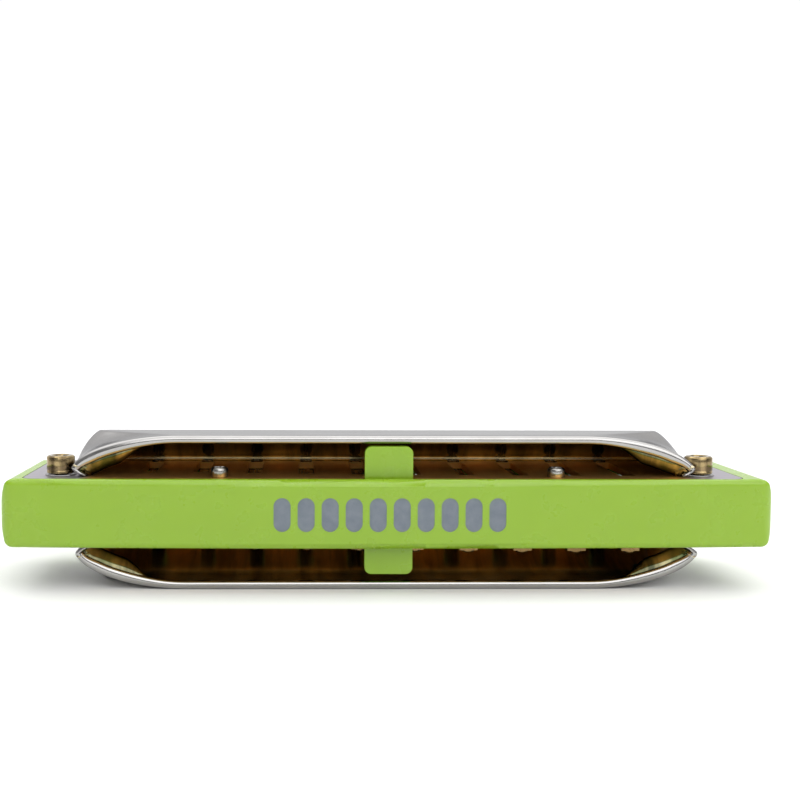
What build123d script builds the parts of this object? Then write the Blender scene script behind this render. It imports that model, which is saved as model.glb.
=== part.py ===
from build123d import *
import math
import os

# A ten-hole diatonic harmonica, in millimetres. X runs along its length, with the low
# notes at +X. Y runs from the open back (-Y) to the mouthpiece (+Y). Z is up, and zero
# is the flat of the bottom cover, on which the instrument lies.

# ---- driving dimensions -------------------------------------------------------------
LENGTH = 101.0
DEPTH = 27.0
COMB_HEIGHT = 9.0
TOP_COVER_RISE = 5.45
BOTTOM_COVER_RISE = 5.9
PLATE_THICKNESS = 0.9
SHEET = 0.4
HOLES = 10
PITCH = 7.15

# ---- levels that follow -------------------------------------------------------------
BACK = -DEPTH / 2
COMB_LOW = BOTTOM_COVER_RISE
COMB_HIGH = COMB_LOW + COMB_HEIGHT
MIDDLE = COMB_LOW + COMB_HEIGHT / 2
FLOOR_LOW = COMB_LOW + PLATE_THICKNESS
FLOOR_HIGH = COMB_HIGH - PLATE_THICKNESS
MID_PLANE = Plane.XY.offset(MIDDLE)

# ---- comb ---------------------------------------------------------------------------
BACK_BOW = 1.15
BACK_CORNER = 1.8
FRONT_CORNER = 5.0
EDGE_ROUND = 0.8
END_CROWN = 0.9
END_ROUND = 1.3
EDGE_BAND = 0.1
CHAMBER_WIDTH = 5.2
CHAMBER_FRONT = BACK + 22.4
MOUTH_HEIGHT = 5.0
MOUTH_CORNER = 0.8
CHAMBER_MARGIN = 0.4

# ---- middle tabs that keep the covers from being squeezed shut ----------------------
TAB_WIDTH = 6.3
TAB_RISE_TOP = 4.1
TAB_RISE_LOW = 3.7
TAB_REAR = BACK + 2.6
TAB_FRONT = BACK + 4.1
TAB_CORNER = 0.9

# ---- inlaid marks on the back -------------------------------------------------------
MARK_LENGTH = 2.2
MARK_HEIGHT = 4.4
MARK_PITCH = 3.1
MARK_FLOOR = BACK + 0.28
MARK_SINK = 0.06

# ---- reed plates --------------------------------------------------------------------
PLATE_HALF = 47.2
PLATE_SHIFT = -0.5
PLATE_REAR = BACK + 1.75
PLATE_FRONT = BACK + 22.8
PLATE_CORNER = 1.5
PLATE_GAP = 0.12
SLOT_WIDTH = 2.1
SLOT_FRONT = BACK + 20.2
LONGEST_SLOT_REAR = BACK + 5.3
SLOT_SHORTENING = 4.2

# ---- reeds --------------------------------------------------------------------------
REED_WIDTH = 1.95
REED_THICKNESS = 0.25
REED_LIFT = 0.1
REED_END_GAP = 0.12
PAD_WIDTH = 2.4
PAD_LENGTH = 1.8
PAD_THICKNESS = 0.8
PAD_GAP = 0.1
RIVET_RADIUS = 0.5
RIVET_HEAD_RADIUS = 0.85
RIVET_HEAD = 0.3
RIVET_HEAD_ROUND = 0.24
RIVET_TAIL = 0.2

# ---- covers -------------------------------------------------------------------------
COVER_REAR_DEPTH = 3.3
COVER_REAR = BACK + COVER_REAR_DEPTH
TOP_COVER_SHIFT = -0.8
HEM_DEPTH = 0.9
HEM_HEIGHT = 1.1
HEM_FLAT_SQUEEZE = 0.55
# distance from the back, height as a share of the cover's rise, half width of the flat,
# half width at the foot, and the exponent of the shoulder's superellipse
COVER_SECTIONS = [
    (COVER_REAR_DEPTH, 1.0, 26.5, 41.1, 2.0),
    (5.0, 1.0, 29.0, 41.25, 1.85),
    (7.5, 1.0, 33.5, 41.5, 1.6),
    (10.0, 1.0, 37.2, 41.8, 1.4),
    (12.6, 1.0, 37.8, 42.1, 1.35),
    (15.0, 0.945, 38.0, 42.2, 1.35),
    (17.5, 0.82, 38.2, 42.4, 1.4),
    (20.0, 0.57, 38.4, 42.5, 1.45),
    (21.5, 0.33, 38.6, 42.6, 1.5),
    (22.5, 0.13, 38.8, 42.7, 1.6),
]
# the lofts stand this much too high, and are then cut level with the flat
FLAT_TRIM = 0.06
SHOULDER_POINTS = 8
WALL_SQUEEZE = 0.5
FLAT_SQUEEZE = 0.25

# ---- fasteners ----------------------------------------------------------------------
NUT_PLACES = [(-43.35, BACK + 6.0), (41.8, BACK + 6.0)]
NUT_RADIUS = 1.85
NUT_HEIGHT = 2.35
NUT_CHAMFER = 0.25
EAR_THICKNESS = 0.25
SCOOP_RADIUS = 2.35
COVER_SCREW_RADIUS = 1.0
COVER_SCREW_HEAD_RADIUS = 1.7
COVER_SCREW_HEAD = 0.7
HOLE_CLEARANCE = 0.05
PLATE_SCREWS = [(22.2, BACK + 3.8)]
PLATE_SCREW_RADIUS = 0.7
PLATE_SCREW_HEAD_RADIUS = 1.15
PLATE_SCREW_HEAD = 1.3
DRIVE_DEPTH = 0.4
DRIVE_WIDTH = 0.35

PAST = 1.0


def hole_x(hole):
    """Centre of a hole: hole 1 has the lowest notes and lies at +X."""
    return ((HOLES - 1) / 2 - hole) * PITCH


def slot_rear(hole):
    """The slots get shorter towards the high notes."""
    return LONGEST_SLOT_REAR + SLOT_SHORTENING * (hole / (HOLES - 1)) ** 2


def block(x, y, z):
    """A box from its ranges along X, Y and Z."""
    size = [high - low for low, high in (x, y, z)]
    centre = [(high + low) / 2 for low, high in (x, y, z)]
    return Pos(*centre) * Box(*size)


def rod(x, y, radius, z_low, z_high):
    """An upright cylinder between two levels."""
    return Pos(x, y, (z_low + z_high) / 2) * Cylinder(radius, z_high - z_low)


def countersink(x, y, radius, z_low, depth):
    """A cone for a flat-headed screw, wide at its lower end."""
    cone = Cone(radius, COVER_SCREW_RADIUS, depth)
    return Pos(x, y, z_low + depth / 2) * cone


def screw_bore(x, y):
    """The hole for a cover screw, opened out below for its flat head."""
    bore = rod(x, y, COVER_SCREW_RADIUS + HOLE_CLEARANCE, 0, 2 * MIDDLE)
    seat = countersink(x, y, COVER_SCREW_HEAD_RADIUS, COMB_LOW - EAR_THICKNESS, COVER_SCREW_HEAD)
    return bore + seat


def both_sides(places):
    """Each place and its mirror image across X = 0."""
    return [(side * x, y) for x, y in places for side in (-1, 1)]


# ---- comb ---------------------------------------------------------------------------
def comb_body():
    """The comb's outside: bowed back, crowned ends and a round mouthpiece nose."""
    half = LENGTH / 2
    back_end = BACK + BACK_BOW
    outline = ThreePointArc((-half, back_end), (0, BACK), (half, back_end))
    outline += Polyline((half, back_end), (half, -BACK), (-half, -BACK), (-half, back_end))
    plan = make_face(outline)
    plan = fillet(plan.vertices().group_by(Axis.Y)[-1], FRONT_CORNER)
    plan = fillet(plan.vertices().group_by(Axis.Y)[0], BACK_CORNER)
    body = Pos(0, 0, COMB_LOW) * extrude(plan, COMB_HEIGHT)
    back_edges = [
        edge for edge in body.edges()
        if edge.center().Y < back_end and abs(edge.center().Z - MIDDLE) > COMB_HEIGHT / 2 - EDGE_BAND
    ]
    body = fillet(back_edges, EDGE_ROUND)

    end = half - END_CROWN
    side = Line((-end, COMB_LOW), (end, COMB_LOW))
    side += ThreePointArc((end, COMB_LOW), (half, MIDDLE), (end, COMB_HIGH))
    side += Line((end, COMB_HIGH), (-end, COMB_HIGH))
    side += ThreePointArc((-end, COMB_HIGH), (-half, MIDDLE), (-end, COMB_LOW))
    section = make_face(side)
    section = fillet(section.vertices(), END_ROUND)
    crowned = extrude(Plane.XZ * section, DEPTH, both=True)

    nose = rod(0, 0, COMB_HEIGHT / 2, -LENGTH, LENGTH)
    nose = Pos(0, -BACK - COMB_HEIGHT / 2, MIDDLE) * Rot(0, 90, 0) * nose
    straight = block((-LENGTH, LENGTH), (-DEPTH, -BACK - COMB_HEIGHT / 2), (COMB_LOW, COMB_HIGH))
    return body & crowned & (nose + straight)


def plate_seat(z_low, z_high):
    """The shallow recess that a reed plate drops into."""
    y_middle = (PLATE_REAR + PLATE_FRONT) / 2
    seat = RectangleRounded(2 * (PLATE_HALF + PLATE_GAP), PLATE_FRONT - PLATE_REAR + 2 * PLATE_GAP,
                            PLATE_CORNER)
    return Pos(PLATE_SHIFT, y_middle, z_low) * extrude(seat, z_high - z_low)


def chamber(hole):
    """One reed chamber, open to both plates, with its mouth hole through the nose."""
    x = hole_x(hole)
    sides = (x - CHAMBER_WIDTH / 2, x + CHAMBER_WIDTH / 2)
    rear = slot_rear(hole) - CHAMBER_MARGIN
    room = block(sides, (rear, CHAMBER_FRONT), (FLOOR_LOW, FLOOR_HIGH))
    mouth = RectangleRounded(CHAMBER_WIDTH, MOUTH_HEIGHT, MOUTH_CORNER)
    mouth = extrude(Plane.XZ * mouth, CHAMBER_FRONT + BACK - PAST)
    return room + Pos(x, CHAMBER_FRONT, MIDDLE) * mouth


def tab(sign):
    """A middle tab with rounded top corners; sign is 1 above the comb and -1 below."""
    rise = COMB_HEIGHT / 2 + (TAB_RISE_TOP if sign > 0 else TAB_RISE_LOW)
    width = TAB_WIDTH / 2
    face = make_face(Polyline((-width, 0), (width, 0), (width, rise), (-width, rise), close=True))
    face = fillet(face.vertices().group_by(Axis.Y)[-1], TAB_CORNER)
    upright = extrude(Plane.XZ * face, TAB_REAR - TAB_FRONT)
    upright = Pos(0, TAB_REAR, MIDDLE) * upright
    return upright if sign > 0 else mirror(upright, MID_PLANE)


def mark_prisms():
    """Ten plain upright bars with round ends, across the middle of the back."""
    bar = SlotOverall(MARK_HEIGHT, MARK_LENGTH, rotation=90)
    prisms = []
    for hole in range(HOLES):
        x = hole_x(hole) / PITCH * MARK_PITCH
        prism = extrude(Plane.XZ * bar, MARK_FLOOR - BACK + PAST)
        prisms.append(Pos(x, MARK_FLOOR, MIDDLE) * prism)
    return Part() + prisms


def comb(body):
    """The moulded comb, with recesses, chambers, tabs and screw holes."""
    result = body - plate_seat(FLOOR_HIGH, COMB_HIGH + PAST) - plate_seat(COMB_LOW - PAST, FLOOR_LOW)
    result = result - [chamber(hole) for hole in range(HOLES)]
    result = result + tab(1) + tab(-1)
    for x, y in NUT_PLACES:
        result -= screw_bore(x, y)
    for x, y in both_sides(PLATE_SCREWS):
        result -= rod(x, y, PLATE_SCREW_RADIUS + HOLE_CLEARANCE, 0, 2 * MIDDLE)
    return result - mark_prisms()


def marks(body):
    """The inlays, sunk a little below the back face."""
    return mark_prisms() & (Pos(0, MARK_SINK, 0) * body)


# ---- reed plates and reeds ----------------------------------------------------------
def pad_centre(hole, blow):
    """Where a reed is riveted: blow reeds at the front, draw reeds at the rear."""
    if blow:
        return SLOT_FRONT + PAD_GAP + PAD_LENGTH / 2
    return slot_rear(hole) - PAD_GAP - PAD_LENGTH / 2


def reed_plate(blow):
    """A flat brass plate with ten slots, a notch for the tab, rivet and screw holes."""
    low, high = (FLOOR_HIGH, COMB_HIGH) if blow else (COMB_LOW, FLOOR_LOW)
    outline = RectangleRounded(2 * PLATE_HALF, PLATE_FRONT - PLATE_REAR, PLATE_CORNER)
    plate = Pos(PLATE_SHIFT, (PLATE_REAR + PLATE_FRONT) / 2, low) * extrude(outline, PLATE_THICKNESS)
    notch = TAB_WIDTH / 2 + 2 * PLATE_GAP
    plate -= block((-notch, notch), (BACK, TAB_FRONT + 2 * PLATE_GAP), (0, 2 * MIDDLE))
    for hole in range(HOLES):
        x = hole_x(hole)
        sides = (x - SLOT_WIDTH / 2, x + SLOT_WIDTH / 2)
        plate -= block(sides, (slot_rear(hole), SLOT_FRONT), (0, 2 * MIDDLE))
        plate -= rod(x, pad_centre(hole, blow), RIVET_RADIUS, 0, 2 * MIDDLE)
    thread = HOLE_CLEARANCE if blow else 0
    for x, y in both_sides(PLATE_SCREWS):
        plate -= rod(x, y, PLATE_SCREW_RADIUS + thread, 0, 2 * MIDDLE)
    for x, y in NUT_PLACES:
        plate -= screw_bore(x, y)
    return plate


def reed_face(blow):
    """The level of the plate face that carries the reeds: the underside of both plates."""
    return FLOOR_HIGH if blow else COMB_LOW


def reed_blade(hole, blow):
    """The free tongue over its slot, from its root at the pad to its tip."""
    x = hole_x(hole)
    top = reed_face(blow) - REED_LIFT
    sides = (x - REED_WIDTH / 2, x + REED_WIDTH / 2)
    root_end = (slot_rear(hole) + REED_END_GAP, SLOT_FRONT)
    tip_end = (slot_rear(hole), SLOT_FRONT - REED_END_GAP)
    return block(sides, root_end if blow else tip_end, (top - REED_THICKNESS, top))


def reed_pads(blow):
    """The thick root of each reed, riveted under the plate."""
    face = reed_face(blow)
    pads = []
    for hole in range(HOLES):
        x = hole_x(hole)
        y = pad_centre(hole, blow)
        sides = (x - PAD_WIDTH / 2, x + PAD_WIDTH / 2)
        pad = block(sides, (y - PAD_LENGTH / 2, y + PAD_LENGTH / 2), (face - PAD_THICKNESS, face))
        pads.append(pad - rod(x, y, RIVET_RADIUS, 0, 2 * MIDDLE))
    return Compound(children=pads)


def rivets(blow):
    """A rivet through each pad and the plate, with a domed head below."""
    face = reed_face(blow)
    head_top = face - PAD_THICKNESS
    tail = face + PLATE_THICKNESS
    made = []
    for hole in range(HOLES):
        x = hole_x(hole)
        y = pad_centre(hole, blow)
        head = rod(x, y, RIVET_HEAD_RADIUS, head_top - RIVET_HEAD, head_top)
        head = fillet(head.edges().group_by(Axis.Z)[0], RIVET_HEAD_ROUND)
        shank = rod(x, y, RIVET_RADIUS, head_top, tail)
        if blow:
            shank += rod(x, y, RIVET_HEAD_RADIUS, tail, tail + RIVET_TAIL)
        made.append(head + shank)
    return Compound(children=made)


# ---- covers -------------------------------------------------------------------------
def cover_section(section, rise, shift, squeeze, drop):
    """A closed cross-section of the cover: foot, two superellipse shoulders and flat top."""
    distance, share, flat, foot, power = section
    squeeze_wall, squeeze_flat, squeeze_height = squeeze
    height = share * rise + FLAT_TRIM - squeeze_height
    flat -= squeeze_flat
    foot -= squeeze_wall
    right = []
    for step in range(SHOULDER_POINTS):
        turn = math.pi / 2 * step / (SHOULDER_POINTS - 1)
        across = max(math.cos(turn), 0) ** (2 / power)
        up = math.sin(turn) ** (2 / power)
        right.append((flat + (foot - flat) * across, -drop + (height + drop) * up))
    left = [(shift - x, z) for x, z in reversed(right)]
    right = [(shift + x, z) for x, z in right]
    outline = Spline(*right) + Line(right[-1], left[0]) + Spline(*left) + Line(left[-1], right[0])
    return Plane.XZ.offset(-(BACK + distance)) * make_face(outline)


def cover_volume(rise, shift, squeeze, drop=0):
    """A solid lofted through the sections, drawn in at the wall, the flat and the top."""
    sections = [cover_section(section, rise, shift, squeeze, drop) for section in COVER_SECTIONS]
    level = block((-LENGTH, LENGTH), (-DEPTH, DEPTH), (-drop, rise - squeeze[-1]))
    return loft(sections) & level


def pressed_cover(rise, shift):
    """A pressed sheet cover above the comb, with a hem round its open back and two ears."""
    outside = cover_volume(rise, shift, (0, 0, 0))
    room = cover_volume(rise, shift, (WALL_SQUEEZE, FLAT_SQUEEZE, SHEET), PAST)
    room = Pos(0, -SHEET, 0) * room
    hem_room = cover_volume(rise, shift, (HEM_HEIGHT, HEM_FLAT_SQUEEZE, HEM_HEIGHT), PAST)
    behind_hem = block((-LENGTH, LENGTH), (COVER_REAR + HEM_DEPTH, -BACK), (-PAST, 2 * MIDDLE))
    hem_zone = block((-LENGTH, LENGTH), (BACK, COVER_REAR + HEM_DEPTH), (-PAST, 2 * MIDDLE))
    inside = (room & behind_hem) + (Pos(0, -PAST / 2, 0) * hem_room & hem_zone)
    for x, y in NUT_PLACES:
        outside -= rod(x, y, SCOOP_RADIUS, -PAST, 2 * MIDDLE)
        inside -= rod(x, y, SCOOP_RADIUS + SHEET, -PAST, 2 * MIDDLE)
    shell = outside - inside
    for x, y in NUT_PLACES:
        shell += rod(x, y, SCOOP_RADIUS + SHEET, 0, EAR_THICKNESS)
        shell -= rod(x, y, COVER_SCREW_RADIUS + HOLE_CLEARANCE, -PAST, EAR_THICKNESS + PAST)
    return Pos(0, 0, COMB_HIGH) * shell


def bottom_cover():
    """The same cover upside down, with its ears countersunk for the screw heads."""
    cover = mirror(pressed_cover(BOTTOM_COVER_RISE, 0), MID_PLANE)
    for x, y in NUT_PLACES:
        cover -= screw_bore(x, y)
    return cover


# ---- fasteners ----------------------------------------------------------------------
def cross_slot(x, y, z_low, z_high, reach):
    """A cross-shaped drive recess."""
    half = DRIVE_WIDTH / 2
    along = block((x - reach, x + reach), (y - half, y + half), (z_low, z_high))
    across = block((x - half, x + half), (y - reach, y + reach), (z_low, z_high))
    return along + across


def cover_screws():
    """Flat-headed screws pushed up from below, sunk level with the bottom cover's ears."""
    bottom = COMB_LOW - EAR_THICKNESS
    made = []
    for x, y in NUT_PLACES:
        screw = rod(x, y, COVER_SCREW_RADIUS, bottom, COMB_HIGH + EAR_THICKNESS + NUT_HEIGHT / 2)
        screw += countersink(x, y, COVER_SCREW_HEAD_RADIUS, bottom, COVER_SCREW_HEAD)
        screw -= cross_slot(x, y, bottom, bottom + DRIVE_DEPTH, COVER_SCREW_HEAD_RADIUS / 2)
        made.append(screw)
    return Compound(children=made)


def cover_nuts():
    """Round sleeve nuts on the top cover's ears."""
    low = COMB_HIGH + EAR_THICKNESS
    made = []
    for x, y in NUT_PLACES:
        nut = rod(x, y, NUT_RADIUS, low, low + NUT_HEIGHT)
        nut = chamfer(nut.edges().group_by(Axis.Z)[-1], NUT_CHAMFER)
        made.append(nut - rod(x, y, COVER_SCREW_RADIUS, low, low + NUT_HEIGHT / 2))
    return Compound(children=made)


def plate_screws():
    """Pan-head screws through the top plate and the comb, threaded into the lower plate."""
    top = COMB_HIGH + PLATE_SCREW_HEAD
    made = []
    for x, y in both_sides(PLATE_SCREWS):
        head = rod(x, y, PLATE_SCREW_HEAD_RADIUS, COMB_HIGH, top)
        head = fillet(head.edges().group_by(Axis.Z)[-1], PLATE_SCREW_HEAD / 2)
        head -= cross_slot(x, y, top - DRIVE_DEPTH, top, PLATE_SCREW_HEAD_RADIUS / 2)
        made.append(head + rod(x, y, PLATE_SCREW_RADIUS, COMB_LOW, COMB_HIGH))
    return Compound(children=made)


# ---- every piece, written as one STEP file each --------------------------------------
comb_outside = comb_body()
pieces = {
    "comb": comb(comb_outside),
    "back_marks": marks(comb_outside),
    "top_cover": pressed_cover(TOP_COVER_RISE, TOP_COVER_SHIFT),
    "bottom_cover": bottom_cover(),
    "blow_reed_plate": reed_plate(True),
    "draw_reed_plate": reed_plate(False),
    "blow_reed_pads": reed_pads(True),
    "draw_reed_pads": reed_pads(False),
    "blow_reed_rivets": rivets(True),
    "draw_reed_rivets": rivets(False),
    "cover_screws": cover_screws(),
    "cover_nuts": cover_nuts(),
    "reed_plate_screws": plate_screws(),
}
for number in range(HOLES):
    pieces[f"blow_reed_{number + 1:02d}"] = reed_blade(number, True)
    pieces[f"draw_reed_{number + 1:02d}"] = reed_blade(number, False)

os.makedirs("parts", exist_ok=True)
for name, piece in pieces.items():
    export_step(piece, f"parts/{name}.step")
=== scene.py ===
"""The looks of a ten-hole harmonica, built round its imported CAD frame. Lengths in the
helpers are millimetres in the frame's own axes, and MM turns them into metres."""
import math

import bmesh
import bpy
import numpy as np
from mathutils import Matrix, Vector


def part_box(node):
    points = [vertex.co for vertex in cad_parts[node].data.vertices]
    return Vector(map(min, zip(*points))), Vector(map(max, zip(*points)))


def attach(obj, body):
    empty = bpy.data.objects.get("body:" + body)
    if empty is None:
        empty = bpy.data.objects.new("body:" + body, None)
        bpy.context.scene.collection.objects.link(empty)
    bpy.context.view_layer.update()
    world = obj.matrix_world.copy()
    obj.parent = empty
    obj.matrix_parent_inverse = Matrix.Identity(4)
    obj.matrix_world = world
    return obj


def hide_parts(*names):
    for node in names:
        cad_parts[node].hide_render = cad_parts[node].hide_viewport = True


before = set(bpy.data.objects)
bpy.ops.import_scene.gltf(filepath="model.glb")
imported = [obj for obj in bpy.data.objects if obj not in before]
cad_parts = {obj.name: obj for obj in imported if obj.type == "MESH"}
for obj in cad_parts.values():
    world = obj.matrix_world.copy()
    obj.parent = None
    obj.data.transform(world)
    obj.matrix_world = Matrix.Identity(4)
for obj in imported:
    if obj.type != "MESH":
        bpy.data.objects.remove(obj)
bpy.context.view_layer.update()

scene = bpy.context.scene
MM = 0.001


def box_mm(node):
    """A node's lowest and highest corners in millimetres."""
    low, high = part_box(node)
    return np.array(low) / MM, np.array(high) / MM


COVER_BOX = box_mm("top_cover")
NUT_LOW, NUT_HIGH = box_mm("cover_nuts")
SCREW_LOW, SCREW_HIGH = box_mm("cover_screws")
PLATE_SCREW_LOW, PLATE_SCREW_HIGH = box_mm("reed_plate_screws")

BACK = box_mm("comb")[0][1]
TOP_FACE = box_mm("blow_reed_plate")[1][2]
BOTTOM_FACE = box_mm("draw_reed_plate")[0][2]
TOP_RISE = COVER_BOX[1][2] - TOP_FACE
BOTTOM_RISE = BOTTOM_FACE


# ---- materials ----------------------------------------------------------------------
# the distance from the middle, in metres, over which the brass plates turn grey
GREY_END_SPAN = (0.0385, 0.0405)


def add_node(tree, kind, **settings):
    """A new node with its plain properties set."""
    node = tree.nodes.new(kind)
    for key, value in settings.items():
        setattr(node, key, value)
    return node


class Nodes:
    """A material's node tree, with short calls for what most materials here need."""

    def __init__(self, name):
        self.material = bpy.data.materials.new(name)
        self.material.use_nodes = True
        self.tree = self.material.node_tree
        self.shader = self.tree.nodes["Principled BSDF"]
        self.place = self.add("ShaderNodeTexCoord").outputs["Object"]

    def add(self, kind, **settings):
        return add_node(self.tree, kind, **settings)

    def link(self, start, end):
        self.tree.links.new(start, end)

    def stretched(self, scale):
        """Object coordinates scaled differently along each axis."""
        mapping = self.add("ShaderNodeMapping")
        mapping.inputs["Scale"].default_value = scale
        self.link(self.place, mapping.inputs["Vector"])
        return mapping.outputs["Vector"]

    def noise(self, scale, detail=4.0, roughness=0.55, vector=None, distortion=0.0):
        node = self.add("ShaderNodeTexNoise")
        node.inputs["Scale"].default_value = scale
        node.inputs["Detail"].default_value = detail
        node.inputs["Roughness"].default_value = roughness
        node.inputs["Distortion"].default_value = distortion
        self.link(vector or self.place, node.inputs["Vector"])
        return node.outputs["Fac"]

    def ramp(self, value, low, high, start=0.0, end=1.0):
        """Maps a value from one range onto another."""
        node = self.add("ShaderNodeMapRange")
        node.inputs["From Min"].default_value = start
        node.inputs["From Max"].default_value = end
        node.inputs["To Min"].default_value = low
        node.inputs["To Max"].default_value = high
        self.link(value, node.inputs["Value"])
        return node.outputs["Result"]

    def mix(self, factor, first, second):
        """A colour between two colours or colour outputs."""
        node = self.add("ShaderNodeMix", data_type="RGBA")
        self.link(factor, node.inputs["Factor"])
        for socket, colour in ((node.inputs["A"], first), (node.inputs["B"], second)):
            if isinstance(colour, tuple):
                socket.default_value = colour
            else:
                self.link(colour, socket)
        return node.outputs["Result"]

    def bump(self, height, strength, distance, after=None):
        node = self.add("ShaderNodeBump")
        node.inputs["Strength"].default_value = strength
        node.inputs["Distance"].default_value = distance
        self.link(height, node.inputs["Height"])
        if after is not None:
            self.link(after, node.inputs["Normal"])
        return node.outputs["Normal"]

    def set(self, **values):
        """Plain numbers straight on the shader; underscores stand for spaces."""
        for key, value in values.items():
            self.shader.inputs[key.replace("_", " ")].default_value = value

    def feed(self, **outputs):
        for key, output in outputs.items():
            self.link(output, self.shader.inputs[key.replace("_", " ")])


def comb_plastic():
    """Glossy moulded lime-green plastic with faint flow marks and a fine mould grain."""
    n = Nodes("lime_plastic")
    cloud = n.noise(60.0, 3.0)
    flow = n.noise(30.0, 5.0, 0.6, n.stretched((0.25, 2.0, 3.0)), 0.6)
    tint = n.mix(n.ramp(cloud, 0.0, 1.0, 0.3, 0.7), (0.232, 0.398, 0.014, 1), (0.246, 0.416, 0.017, 1))
    tint = n.mix(n.ramp(flow, 0.0, 0.25, 0.35, 0.8), tint, (0.218, 0.378, 0.012, 1))
    grain = n.noise(2600.0, 2.0)
    ripple = n.noise(140.0, 3.0)
    normal = n.bump(grain, 0.10, 0.00003)
    normal = n.bump(ripple, 0.05, 0.0001, normal)
    n.feed(Base_Color=tint, Roughness=n.ramp(n.noise(420.0, 4.0), 0.24, 0.36, 0.3, 0.7), Normal=normal)
    n.set(IOR=1.5, Subsurface_Weight=0.12, Subsurface_Scale=0.0015)
    n.shader.inputs["Subsurface Radius"].default_value = (0.6, 1.0, 0.25)
    n.set(Coat_Weight=0.15, Coat_Roughness=0.12)
    return n.material


def mark_ink():
    """Slate-blue inlay, slightly mottled and duller than the comb."""
    n = Nodes("slate_inlay")
    mottle = n.noise(900.0, 5.0)
    tint = n.mix(n.ramp(mottle, 0.0, 1.0, 0.35, 0.7), (0.130, 0.155, 0.190, 1), (0.178, 0.203, 0.234, 1))
    n.feed(Base_Color=tint, Roughness=n.ramp(mottle, 0.42, 0.62), Normal=n.bump(mottle, 0.2, 0.00003))
    return n.material


def polished_steel():
    """Bright pressed sheet with lengthwise polishing lines and faint smears."""
    n = Nodes("polished_steel")
    lines = n.noise(900.0, 3.0, 0.6, n.stretched((0.03, 1.0, 1.0)))
    smear = n.noise(110.0, 5.0, 0.65)
    specks = n.noise(3500.0, 1.0)
    tint = n.mix(n.ramp(smear, 0.0, 1.0, 0.35, 0.75), (0.385, 0.375, 0.365, 1), (0.44, 0.432, 0.425, 1))
    rough = n.add("ShaderNodeMath", operation="ADD")
    n.link(n.ramp(lines, 0.10, 0.22, 0.3, 0.7), rough.inputs[0])
    n.link(n.ramp(smear, -0.02, 0.05, 0.3, 0.8), rough.inputs[1])
    normal = n.bump(lines, 0.10, 0.00002)
    normal = n.bump(specks, 0.04, 0.00001, normal)
    n.feed(Base_Color=tint, Roughness=rough.outputs["Value"], Normal=normal)
    n.set(Metallic=1.0)
    n.shader.inputs["Specular Tint"].default_value = (0.63, 0.63, 0.64, 1)
    return n.material


def sheet_inside():
    """The unpolished inner side of the covers, drawn into streaks by the press, its brown-gold tint a
    painted reflection of the brass plates.
    """
    n = Nodes("pressed_steel_inside")
    streaks = n.noise(420.0, 5.0, 0.65, n.stretched((1.0, 0.10, 0.16)))
    film = n.noise(90.0, 4.0, 0.6)
    # painted reflection: the warm brown tints stand in for the brass plates mirrored in the inner steel
    tint = n.mix(n.ramp(streaks, 0.0, 1.0, 0.40, 0.62), (0.72, 0.62, 0.42, 1), (0.40, 0.35, 0.24, 1))
    tint = n.mix(n.ramp(film, 0.0, 0.5, 0.4, 0.7), tint, (0.42, 0.42, 0.28, 1))
    n.feed(
        Base_Color=tint,
        Roughness=n.ramp(film, 0.14, 0.26, 0.3, 0.7),
        Normal=n.bump(streaks, 0.30, 0.00006),
    )
    n.set(Metallic=1.0)
    n.shader.inputs["Specular Tint"].default_value = (0.80, 0.76, 0.66, 1)
    return n.material


def sheet_lip():
    """The drawn lip inside the hem, with drawn streaks coloured brassy and near black as painted
    reflection of the brass plates and painted shade, and green blotches painted as the comb's reflection
    in it."""
    n = Nodes("drawn_steel_lip")
    streaks = n.noise(380.0, 4.0, 0.6, n.stretched((1.0, 0.12, 0.25)))
    comb_reflection_mask = n.noise(170.0, 3.0, 0.5)
    # painted reflection and painted shade: brassy for the mirrored brass plates, near black for the shade
    # inside the cover
    tint = n.mix(n.ramp(streaks, 0.0, 1.0, 0.38, 0.60), (0.30, 0.27, 0.15, 1), (0.055, 0.058, 0.035, 1))
    # painted reflection: green blotches stand in for the comb mirrored in the lip
    tint = n.mix(n.ramp(comb_reflection_mask, 0.0, 0.8, 0.50, 0.62), tint, (0.07, 0.10, 0.035, 1))
    n.feed(
        Base_Color=tint,
        Roughness=n.ramp(comb_reflection_mask, 0.10, 0.20, 0.3, 0.7),
        Normal=n.bump(streaks, 0.35, 0.00006),
    )
    n.set(Metallic=1.0)
    n.shader.inputs["Specular Tint"].default_value = (0.50, 0.50, 0.44, 1)
    return n.material


def plate_brass():
    """Rolled brass sheet with grain along its length and tarnish clouds, its colour and glance turning
    grey towards both ends.
    """
    n = Nodes("rolled_brass")
    grain = n.noise(1400.0, 4.0, 0.7, n.stretched((0.05, 1.0, 1.0)))
    tarnish = n.noise(90.0, 6.0, 0.6, None, 0.4)
    tint = n.mix(n.ramp(tarnish, 0.0, 1.0, 0.3, 0.75), (0.93, 0.56, 0.18, 1), (0.70, 0.36, 0.10, 1))
    tint = n.mix(n.ramp(grain, 0.0, 0.3, 0.4, 0.75), tint, (0.74, 0.53, 0.25, 1))
    split = n.add("ShaderNodeSeparateXYZ")
    n.link(n.place, split.inputs["Vector"])
    out = n.add("ShaderNodeMath", operation="ABSOLUTE")
    n.link(split.outputs["X"], out.inputs[0])
    grey_ends = n.ramp(out.outputs["Value"], 0.0, 1.0, *GREY_END_SPAN)
    tint = n.mix(grey_ends, tint, (0.50, 0.485, 0.52, 1))
    n.feed(
        Base_Color=tint,
        Roughness=n.ramp(grain, 0.30, 0.46, 0.3, 0.7),
        Normal=n.bump(grain, 0.12, 0.00002),
    )
    glance = n.mix(grey_ends, (0.98, 0.86, 0.66, 1), (0.72, 0.70, 0.72, 1))
    n.link(glance, n.shader.inputs["Specular Tint"])
    n.set(Metallic=1.0)
    return n.material


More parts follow.
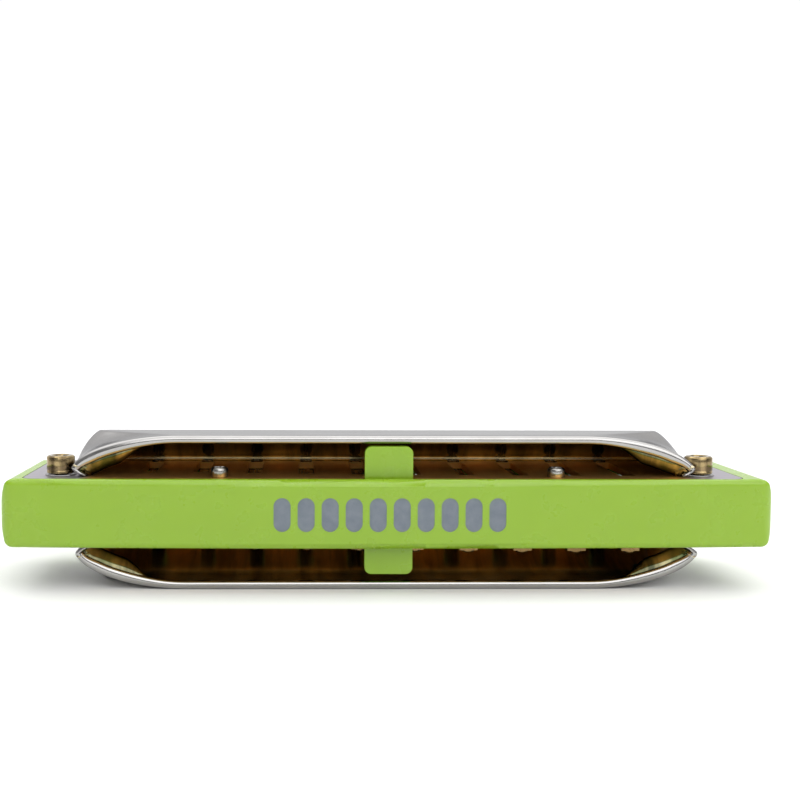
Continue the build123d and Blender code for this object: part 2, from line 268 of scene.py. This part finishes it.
def reed_brass():
    """Reeds filed along their length, their brass painted browner and darker than the plate as painted
    shade.
    """
    n = Nodes("filed_brass")
    files = n.noise(2200.0, 4.0, 0.7, n.stretched((1.0, 0.03, 1.0)))
    heat = n.noise(260.0, 3.0)
    # painted shade: dark browns so the reeds, pads and rivets read like the shaded slots they lie in
    tint = n.mix(n.ramp(heat, 0.0, 1.0, 0.3, 0.7), (0.27, 0.18, 0.075, 1), (0.18, 0.115, 0.045, 1))
    n.feed(
        Base_Color=tint,
        Roughness=n.ramp(files, 0.16, 0.36, 0.3, 0.7),
        Normal=n.bump(files, 0.25, 0.00003),
    )
    n.set(Metallic=1.0)
    n.shader.inputs["Specular Tint"].default_value = (0.40, 0.36, 0.30, 1)
    return n.material


def nut_brass():
    """Turned brass with ring marks, and vertical dark and light streaks painted as a knurl's shade and
    highlights.
    """
    n = Nodes("turned_brass")
    rings = n.noise(1800.0, 3.0, 0.6, n.stretched((0.08, 0.08, 1.0)))
    knurl_shading = n.noise(1300.0, 3.0, 0.6, n.stretched((1.0, 1.0, 0.07)))
    # painted shade and highlight: the vertical streaks stand in for the ridges of a knurl
    tint = n.mix(n.ramp(knurl_shading, 0.0, 1.0, 0.35, 0.7), (0.44, 0.335, 0.165, 1), (0.12, 0.085, 0.045, 1))
    n.feed(
        Base_Color=tint,
        Roughness=n.ramp(rings, 0.14, 0.30, 0.3, 0.7),
        Normal=n.bump(rings, 0.25, 0.00002),
    )
    n.set(Metallic=1.0)
    return n.material


def nickel():
    """Plated screws with a slightly pitted, warm nickel finish."""
    n = Nodes("nickel_plate")
    pits = n.noise(1900.0, 5.0, 0.7)
    tint = n.mix(n.ramp(pits, 0.0, 1.0, 0.4, 0.7), (0.40, 0.39, 0.365, 1), (0.20, 0.195, 0.18, 1))
    n.feed(
        Base_Color=tint,
        Roughness=n.ramp(pits, 0.16, 0.34, 0.3, 0.7),
        Normal=n.bump(pits, 0.15, 0.00003),
    )
    n.set(Metallic=1.0)
    return n.material


def studio_floor():
    """Matt white paper."""
    n = Nodes("studio_paper")
    fibre = n.noise(700.0, 5.0)
    tint = n.mix(fibre, (0.90, 0.90, 0.895, 1), (0.93, 0.93, 0.93, 1))
    n.feed(Base_Color=tint, Normal=n.bump(fibre, 0.03, 0.0001))
    n.set(Roughness=0.9, Specular_IOR_Level=0.1)
    return n.material


COMB = comb_plastic()
MARK = mark_ink()
STEEL = polished_steel()
STEEL_INSIDE = sheet_inside()
STEEL_LIP = sheet_lip()
PLATE = plate_brass()
SHADED_REED = reed_brass()
NUT = nut_brass()
NICKEL = nickel()


# ---- mesh helpers -------------------------------------------------------------------
def mesh_object(name, points, faces, material, body="body", slot=None, sharp=40, lip=None):
    """A mesh piece from points in millimetres, shaded smooth except over sharp folds.

    Faces from number lip on take the third material slot.
    """
    mesh = bpy.data.meshes.new(name)
    mesh.from_pydata([tuple(float(v) * MM for v in p) for p in points], [], faces)
    if lip is not None:
        for extra in (material, STEEL_INSIDE, STEEL_LIP):
            mesh.materials.append(extra)
        for polygon in mesh.polygons[lip:]:
            polygon.material_index = 2
    bm = bmesh.new()
    bm.from_mesh(mesh)
    bmesh.ops.remove_doubles(bm, verts=bm.verts, dist=1e-7)
    bmesh.ops.recalc_face_normals(bm, faces=bm.faces)
    for face in bm.faces:
        face.smooth = True
    for edge in bm.edges:
        if len(edge.link_faces) == 2 and edge.calc_face_angle() > math.radians(sharp):
            edge.smooth = False
    bm.to_mesh(mesh)
    bm.free()
    if lip is None:
        mesh.materials.append(material)
    obj = bpy.data.objects.new(name, mesh)
    scene.collection.objects.link(obj)
    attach(obj, body)
    return obj


def lathe(profile, centre, segments=64, flip=False):
    """Points and faces of a turned shape; the profile is (radius, height) from the centre out."""
    x, y, z = centre
    sign = -1 if flip else 1
    points, faces = [], []
    for radius, height in profile:
        for k in range(segments):
            turn = 2 * math.pi * k / segments
            points.append((x + radius * math.cos(turn), y + radius * math.sin(turn), z + sign * height))
    for row in range(len(profile) - 1):
        for k in range(segments):
            a = row * segments + k
            b = row * segments + (k + 1) % segments
            faces.append((a, b, b + segments, a + segments))
    return points, faces


def joined(parts):
    """Several (points, faces) pairs as one."""
    points, faces = [], []
    for some_points, some_faces in parts:
        start = len(points)
        points += some_points
        faces += [tuple(start + index for index in face) for face in some_faces]
    return points, faces


# ---- covers -------------------------------------------------------------------------
REAR = COVER_BOX[0][1] - BACK
FRONT = COVER_BOX[1][1] - BACK
FLAT_END = 11.4
SHEET = 0.38
HEM = 1.1
HEM_TUCK = 0.95
FLANGE = 1.5
LIP_ROWS = 6
EAR_RADIUS = 2.3
TOP_EAR_RADIUS = 2.05
TOP_EAR_HOLE = 1.1
BOTTOM_EAR_HOLE = 1.72
EAR_SHEET = 0.12
SCOOP = 2.35
FRONT_LIP = 0.7
SHOULDER_STEPS = 30
FLAT_STEPS = 24
DEPTH_STEPS = 44
HEM_STEPS = 12
FLAT_HALF = 26.5
FLAT_WIDENING = 11.2
WIDENING_DEPTH = 8.0
FOOT_HALF = 41.6
DRAFT = 1.1
CURL = 2.2
LEAN = 0.55
TOP_SHIFT = -0.8


def ease(value):
    value = min(max(value, 0.0), 1.0)
    return value * value * (3 - 2 * value)


def cover_profile(distance, rise):
    """Half width of the flat, half width at the foot, height and shoulder exponent."""
    opening = ease((distance - REAR) / WIDENING_DEPTH)
    along = (distance - REAR) / (FRONT - REAR)
    fall = max(distance - FLAT_END, 0.0) / (FRONT - FLAT_END)
    flat = FLAT_HALF + FLAT_WIDENING * opening + DRAFT * along
    foot = FOOT_HALF + DRAFT * along
    height = rise - (rise - FRONT_LIP) * fall ** 2
    power = 2.0 - 0.65 * opening + 0.25 * fall ** 2
    return flat, foot, height, power


def cover_row(distance, rise):
    """One cross-section, from the left foot over the flat to the right foot."""
    flat, foot, height, power = cover_profile(distance, rise)
    shoulder = []
    for step in range(SHOULDER_STEPS + 1):
        turn = math.pi / 2 * step / SHOULDER_STEPS
        across = math.cos(turn) ** (2 / power) if step < SHOULDER_STEPS else 0.0
        shoulder.append((flat + (foot - flat) * across, height * math.sin(turn) ** (2 / power)))
    middle = [(flat * (1 - 2 * k / FLAT_STEPS), height) for k in range(1, FLAT_STEPS)]
    row = shoulder + middle + [(-x, z) for x, z in reversed(shoulder)]
    return np.array([(-x, z) for x, z in row])


def curl_in(points, distance):
    """Near the open back the foot of each end curls inwards to meet the plate."""
    weight = 1.0 - ease((distance - REAR - 0.5) / 3.5)
    low = np.clip(1.0 - points[:, 1] / 1.4, 0.0, 1.0)
    points[:, 0] -= np.sign(points[:, 0]) * CURL * weight * low ** 2
    return points


def leant(points, shift, rise):
    """A shifted cover leans: its feet are shifted less than its flat."""
    points[:, 0] -= LEAN * shift * (1 - np.clip(points[:, 1] / rise, 0.0, 1.0))
    return points


def scooped(points, nuts):
    """Walls are pressed back to a round hollow about each nut."""
    for x, y in nuts:
        away = points[:, :2] - np.array((x, y))
        reach = np.maximum(np.hypot(away[:, 0], away[:, 1]), 1e-6)
        pushed = (reach ** 6 + SCOOP ** 6) ** (1 / 6)
        points[:, :2] = np.array((x, y)) + away * (pushed / reach)[:, None]
    return points


def cover_mesh(name, node, shift, nuts, up, rise):
    """A pressed cover: sheet with a rolled hem round the open back."""
    depths = [FRONT - (FRONT - REAR - HEM_TUCK) * (k / DEPTH_STEPS) ** 0.9 for k in range(DEPTH_STEPS + 1)]
    front = leant(cover_row(FRONT, rise), shift, rise)
    rows = []
    for k in range(3):
        back = np.full(len(front), BACK + FRONT - 0.02 * k)
        rows.append(np.column_stack((front[:, 0] + shift, back, front[:, 1] * (k / 3))))
    for distance in depths:
        row = leant(curl_in(cover_row(distance, rise), distance), shift, rise)
        rows.append(np.column_stack((row[:, 0] + shift, np.full(len(row), BACK + distance), row[:, 1])))
    rim = leant(curl_in(cover_row(REAR, rise), REAR), shift, rise)
    along = np.gradient(rim, axis=0)
    inward = np.column_stack((along[:, 1], -along[:, 0]))
    inward /= np.maximum(np.linalg.norm(inward, axis=1), 1e-9)[:, None]
    out = np.abs(rim[:, 0])
    taper = np.array([ease(z / 1.3) for z in rim[:, 1]])
    swell = np.array([ease((x - 28.0) / 8.0) * (1 - ease((x - 38.5) / 2.5)) for x in out])
    bead = HEM * (1 + 0.28 * swell) * (0.3 + 0.7 * taper)
    lip = FLANGE * taper * np.array([ease((x - 31.0) / 5.0) for x in out])
    for k in range(HEM_STEPS + 1):
        turn = math.pi * k / HEM_STEPS
        sink = bead * (1 - math.cos(turn)) / 2
        back = REAR + HEM_TUCK * 0.55 * (1 - math.sin(turn))
        place = rim + inward * sink[:, None]
        rows.append(np.column_stack((place[:, 0] + shift, np.full(len(rim), BACK + back), place[:, 1])))
    for k in range(1, LIP_ROWS + 1):
        place = rim + inward * (bead + lip * k / LIP_ROWS)[:, None]
        back = REAR + HEM_TUCK * 0.55 + (0.25 * HEM_TUCK + 0.6 * lip) * (k / LIP_ROWS) ** 1.6
        rows.append(np.column_stack((place[:, 0] + shift, BACK + back, place[:, 1])))
    face = TOP_FACE if up else BOTTOM_FACE
    sign = 1 if up else -1
    points = []
    for row in rows:
        row = scooped(row, nuts)
        row[:, 2] = face + sign * np.maximum(row[:, 2], 0.0)
        points += row.tolist()
    width = len(rim)
    faces = []
    for r in range(len(rows) - 1):
        for c in range(width - 1):
            a = r * width + c
            quad = (a, a + 1, a + width + 1, a + width)
            faces.append(quad if up else quad[::-1])
    first_lip_face = (len(rows) - 1 - LIP_ROWS) * (width - 1)
    cover = mesh_object(name, points, faces, STEEL, slot="cover", sharp=60, lip=first_lip_face)
    solid = cover.modifiers.new("sheet", "SOLIDIFY")
    solid.thickness = SHEET * MM
    solid.offset = -1.0
    solid.material_offset = 1
    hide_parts(node)
    return cover


def normals_face_out(cover, up):
    """The sheet's thickness is laid inwards only if its normals point out of the object."""
    flat_faces = [p for p in cover.data.polygons if abs(p.normal.z) > 0.99]
    middle = sum(p.normal.z for p in flat_faces)
    if (middle > 0) != up:
        cover.data.flip_normals()


def ear_disc(centre, up):
    """The flat ear of a cover round a screw hole."""
    hole = TOP_EAR_HOLE if up else BOTTOM_EAR_HOLE
    outer = TOP_EAR_RADIUS if up else EAR_RADIUS
    thick, soft = EAR_SHEET, 0.04
    profile = [(hole, 0.0), (outer - soft, 0.0), (outer, soft), (outer, thick - soft),
               (outer - soft, thick), (hole + soft, thick), (hole, thick - soft), (hole, 0.0)]
    return lathe(profile, centre, 72, flip=not up)


NUT_R = (NUT_HIGH[1] - NUT_LOW[1]) / 2
NUT_CENTRE_Y = (NUT_HIGH[1] + NUT_LOW[1]) / 2
NUTS = [(NUT_LOW[0] + NUT_R, NUT_CENTRE_Y), (NUT_HIGH[0] - NUT_R, NUT_CENTRE_Y)]

for cover_name, cover_node, cover_shift, upper, cover_rise in (
    ("top_shell", "top_cover", TOP_SHIFT, True, TOP_RISE),
    ("bottom_shell", "bottom_cover", 0.0, False, BOTTOM_RISE),
):
    shell = cover_mesh(cover_name, cover_node, cover_shift, NUTS, upper, cover_rise)
    normals_face_out(shell, upper)
    face_level = TOP_FACE if upper else BOTTOM_FACE
    ears = joined([ear_disc((x, y, face_level), upper) for x, y in NUTS])
    ear = mesh_object(cover_name + "_ears", *ears, STEEL, slot="cover")
    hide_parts(cover_node)


# ---- nuts and screws ----------------------------------------------------------------
def nut_parts():
    """Sleeve nuts with a chamfered rim and the screw's end showing in the bore."""
    height = NUT_HIGH[2] - NUT_LOW[2]
    profile = [
        (0.0, 0.0), (NUT_R - 0.12, 0.0), (NUT_R, 0.1), (NUT_R, 0.40),
        (NUT_R - 0.04, 0.44), (NUT_R - 0.04, 0.48), (NUT_R, 0.52),
        (NUT_R, height - 0.24), (NUT_R - 0.03, height - 0.18), (NUT_R - 0.22, height - 0.02),
        (NUT_R - 0.27, height), (1.12, height), (1.02, height - 0.08), (1.0, height - 0.55),
        (0.86, height - 0.55), (0.74, height - 0.46), (0.0, height - 0.46),
    ]
    return joined([lathe(profile, (x, y, NUT_LOW[2]), 96) for x, y in NUTS])


def cross_depth(x, y, reach, width, depth):
    """How deep a cross recess is at a point: arms with sloping sides, fading at their ends."""
    best = 0.0
    for along, across in ((abs(x), abs(y)), (abs(y), abs(x))):
        side = ease((width - across) / (width * 0.5) + 0.5)
        end = ease((reach - along) / (reach * 0.35) + 0.2)
        best = max(best, side * end)
    return depth * best


PAN_FLAT = 0.55
PAN_EDGE = 0.62


def pan_head(x, y, z, radius, height, spin, flip=False):
    """A pan head with a rounded shoulder and a cross recess, as a polar height field."""
    rings, segments = 26, 72
    points, faces = [], []
    sign = -1 if flip else 1
    flat = radius * PAN_FLAT
    for ring in range(rings + 1):
        r = radius * (ring / rings) ** 0.8
        for k in range(segments):
            turn = 2 * math.pi * k / segments
            px, py = r * math.cos(turn), r * math.sin(turn)
            over = max(r - flat, 0.0) / (radius - flat)
            dome = height * (PAN_EDGE + (1 - PAN_EDGE) * math.sqrt(max(1 - over ** 2.6, 0.0)))
            cx = px * math.cos(spin) + py * math.sin(spin)
            cy = py * math.cos(spin) - px * math.sin(spin)
            level = dome - cross_depth(cx, cy, radius * 0.62, radius * 0.16, height * 0.5)
            points.append((x + px, y + py, z + sign * level))
    for foot_radius, foot_level in ((radius, 0.06), (radius - 0.06, 0.0), (0.0, 0.0)):
        for k in range(segments):
            turn = 2 * math.pi * k / segments
            px, py = foot_radius * math.cos(turn), foot_radius * math.sin(turn)
            points.append((x + px, y + py, z + sign * foot_level))
    for ring in range(rings + 3):
        for k in range(segments):
            a = ring * segments + k
            b = ring * segments + (k + 1) % segments
            faces.append((a, b, b + segments, a + segments))
    return points, faces


THREAD_PITCH = 0.4
THREAD_DEPTH = 0.1
COVER_SHANK = 0.98
PLATE_SHANK = 0.68


def shank(x, y, radius, low, high):
    """A plain threaded length, grooved like a fine thread."""
    count = int((high - low) / (THREAD_PITCH / 2))
    profile = [(0.0, low)]
    for k in range(count + 1):
        groove = radius - (THREAD_DEPTH if k % 2 else 0.0)
        profile.append((groove, low + (high - low) * k / count))
    profile.append((0.0, high))
    return lathe(profile, (x, y, 0.0), 40)


nuts_piece = mesh_object("sleeve_nuts", *nut_parts(), NUT, slot="nut", sharp=50)
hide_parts("cover_nuts")

COVER_SCREW_HEAD_R = (SCREW_HIGH[1] - SCREW_LOW[1]) / 2
COVER_HEAD = 0.35
screw_parts = []
for number, (x, y) in enumerate(NUTS):
    seat = SCREW_LOW[2] + COVER_HEAD
    screw_parts.append(pan_head(x, y, seat, COVER_SCREW_HEAD_R, COVER_HEAD, 0.4 + number, flip=True))
    screw_parts.append(shank(x, y, COVER_SHANK, seat, SCREW_HIGH[2]))
screws = mesh_object("cover_screw_set", *joined(screw_parts), NICKEL, slot="screw", sharp=50)
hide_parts("cover_screws")

PLATE_HEAD_R = (PLATE_SCREW_HIGH[1] - PLATE_SCREW_LOW[1]) / 2
PLATE_SCREW_X = PLATE_SCREW_HIGH[0] - PLATE_HEAD_R
PLATE_SCREW_Y = PLATE_SCREW_LOW[1] + PLATE_HEAD_R
PLATE_HEAD = PLATE_SCREW_HIGH[2] - TOP_FACE
plate_screw_parts = []
for number, x in enumerate((-PLATE_SCREW_X, PLATE_SCREW_X)):
    spin = 0.3 + 0.9 * number
    plate_screw_parts.append(pan_head(x, PLATE_SCREW_Y, TOP_FACE, PLATE_HEAD_R, PLATE_HEAD, spin))
    plate_screw_parts.append(shank(x, PLATE_SCREW_Y, PLATE_SHANK, PLATE_SCREW_LOW[2], TOP_FACE))
plate_screws = mesh_object("plate_screw_set", *joined(plate_screw_parts), NICKEL, slot="screw", sharp=50)
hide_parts("reed_plate_screws")


# ---- CAD nodes that stay, with better surfaces --------------------------------------
def dress(node, material, soften=0.0):
    """A carried-over CAD node: its material, and edges broken by a small bevel."""
    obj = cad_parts[node]
    obj.data.materials.clear()
    obj.data.materials.append(material)
    if soften:
        bevel = obj.modifiers.new("soft_edges", "BEVEL")
        bevel.width = soften * MM
        bevel.segments = 2
        bevel.limit_method = "ANGLE"
        bevel.angle_limit = math.radians(50)
        bevel.harden_normals = True


dress("comb", COMB)
dress("back_marks", MARK)
dress("blow_reed_plate", PLATE, 0.05)
dress("draw_reed_plate", PLATE, 0.05)
for side in ("blow", "draw"):
    dress(f"{side}_reed_pads", SHADED_REED, 0.08)
    dress(f"{side}_reed_rivets", SHADED_REED)
    for number in range(1, 11):
        dress(f"{side}_reed_{number:02d}", SHADED_REED, 0.04)


# ---- stage, light and camera --------------------------------------------------------
FLOOR_REACH = 3.0
FLOOR_LEVEL = -0.00002
# the world's brightness changes between two values of a direction's Y, and again of its Z
BEYOND_EDGE = (-0.15, 0.35)
ROOM_LEVEL = 0.26
OVERHEAD_EDGE = (0.62, 0.86)
OVERHEAD_LEVEL = 1.4
WORLD_STRENGTH = 1.02
KEY_PLACE = (0.30, -0.80, 0.62)
KEY_TARGET = (0, 0, 0.01)
KEY_SIZE = (1.4, 0.7)
KEY_POWER = 6.6
LENS = 56.2
LENS_SHIFT = 0.092
CAMERA_PLACE = (-0.01199, -0.17305, 0.03588)
CAMERA_TURN, CAMERA_TILT, CAMERA_ROLL = -1.326, -3.799, -0.225


def add_floor():
    """A wide sheet of white paper just under the harmonica."""
    square = [(-1, -1), (1, -1), (1, 1), (-1, 1)]
    corners = [(FLOOR_REACH * x, FLOOR_REACH * y, FLOOR_LEVEL) for x, y in square]
    mesh = bpy.data.meshes.new("paper")
    mesh.from_pydata(corners, [], [(0, 1, 2, 3)])
    mesh.materials.append(studio_floor())
    floor = bpy.data.objects.new("paper", mesh)
    scene.collection.objects.link(floor)


def add_softbox(name, place, target, size, power):
    """A rectangular area light at a place, facing a target."""
    light = bpy.data.lights.new(name, "AREA")
    light.shape = "RECTANGLE"
    light.size, light.size_y = size
    light.energy = power
    obj = bpy.data.objects.new(name, light)
    scene.collection.objects.link(obj)
    forward = (np.array(target) - np.array(place)).astype(float)
    back = -forward / np.linalg.norm(forward)
    right = np.cross((0, 0, 1), back)
    right /= np.linalg.norm(right)
    up = np.cross(back, right)
    obj.matrix_world = Matrix((
        (right[0], up[0], back[0], place[0]),
        (right[1], up[1], back[1], place[1]),
        (right[2], up[2], back[2], place[2]),
        (0, 0, 0, 1),
    ))


def add_world():
    """A white backdrop beyond the harmonica, white overhead, and a dim room behind the camera."""
    world = bpy.data.worlds.new("studio")
    world.use_nodes = True
    tree = world.node_tree
    background = tree.nodes["Background"]

    place = add_node(tree, "ShaderNodeTexCoord")
    split = add_node(tree, "ShaderNodeSeparateXYZ")
    tree.links.new(place.outputs["Generated"], split.inputs["Vector"])
    beyond = add_node(tree, "ShaderNodeMapRange", interpolation_type="SMOOTHSTEP")
    beyond.inputs["From Min"].default_value, beyond.inputs["From Max"].default_value = BEYOND_EDGE
    beyond.inputs["To Min"].default_value = ROOM_LEVEL
    tree.links.new(split.outputs["Y"], beyond.inputs["Value"])
    above = add_node(tree, "ShaderNodeMapRange", interpolation_type="SMOOTHSTEP")
    above.inputs["From Min"].default_value, above.inputs["From Max"].default_value = OVERHEAD_EDGE
    above.inputs["To Max"].default_value = OVERHEAD_LEVEL
    tree.links.new(split.outputs["Z"], above.inputs["Value"])
    both = add_node(tree, "ShaderNodeMath", operation="ADD")
    tree.links.new(beyond.outputs["Result"], both.inputs[0])
    tree.links.new(above.outputs["Result"], both.inputs[1])
    tree.links.new(both.outputs["Value"], background.inputs["Color"])
    background.inputs["Strength"].default_value = WORLD_STRENGTH
    scene.world = world


def add_camera():
    """The view from a little above, behind the open back."""
    data = bpy.data.cameras.new("camera")
    data.sensor_width = 36.0
    data.lens = LENS
    data.shift_x = LENS_SHIFT
    data.clip_start = 0.01
    camera = bpy.data.objects.new("camera", data)
    scene.collection.objects.link(camera)
    turn = (
        Matrix.Rotation(math.radians(CAMERA_TURN), 4, "Z")
        @ Matrix.Rotation(math.radians(CAMERA_TILT), 4, "X")
        @ Matrix.Rotation(math.radians(CAMERA_ROLL), 4, "Y")
        @ Matrix.Rotation(math.radians(90), 4, "X")
    )
    camera.matrix_world = Matrix.Translation(CAMERA_PLACE) @ turn
    scene.camera = camera


add_floor()
add_world()
add_softbox("key_softbox", KEY_PLACE, KEY_TARGET, KEY_SIZE, KEY_POWER)
add_camera()
scene.view_settings.view_transform = "Standard"
